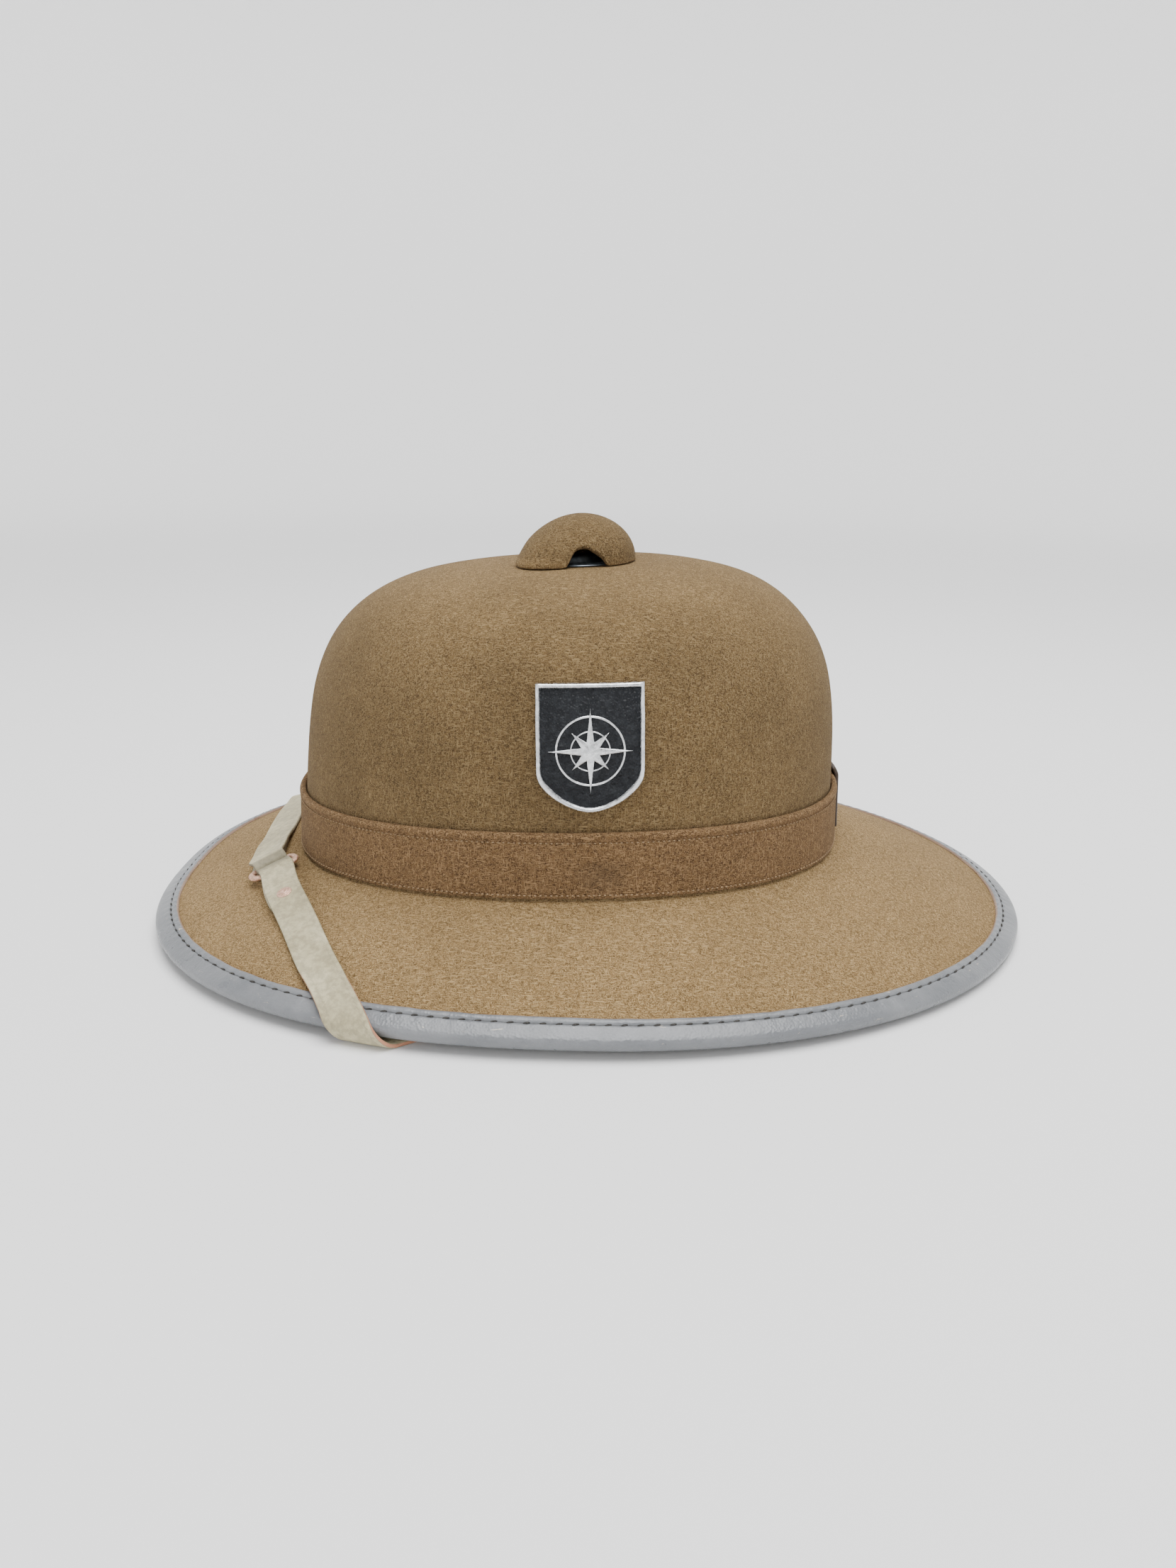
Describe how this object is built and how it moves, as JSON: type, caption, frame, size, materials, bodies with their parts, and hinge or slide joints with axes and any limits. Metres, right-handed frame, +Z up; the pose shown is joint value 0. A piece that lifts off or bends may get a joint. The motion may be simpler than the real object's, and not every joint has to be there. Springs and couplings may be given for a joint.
{
  "type": "pith helmet",
  "caption": "Felt tropical helmet with a wide sloping brim, leather-bound rim, hat band, capped top vent, shield badge and a buckled chin strap laid over the brim.",
  "frame": {"origin": "middle of the hat's footprint, on the surface it rests on", "axes": "+Z up; +X towards the rear of the hat, so the front points along -X; -Y is the side with the shield badge"},
  "size_m": [0.344, 0.2744, 0.1545],
  "materials": {
    "crown_felt": "brushed felt",
    "band_felt": "brushed felt",
    "grey_leather": "worn semi-gloss",
    "khaki_leather": "matte",
    "brown_leather": "matte",
    "copper_wire": "worn",
    "cast_metal": "cast, polished rim",
    "zinc": "dull"
  },
  "bodies": {
    "root": {"shell": "crown_felt", "hat_band": "band_felt", "rear_tab": "brown_leather", "brim_binding": "grey_leather", "vent_cap": "crown_felt", "vent_ring": "zinc", "shield_badge": "cast_metal", "chin_strap_lower": "khaki_leather", "chin_strap_upper": "khaki_leather", "strap_buckle": "copper_wire", "strap_rivet": "copper_wire", "strap_anchor_left": "zinc", "strap_anchor_right": "zinc"}
  },
  "joints": []
}
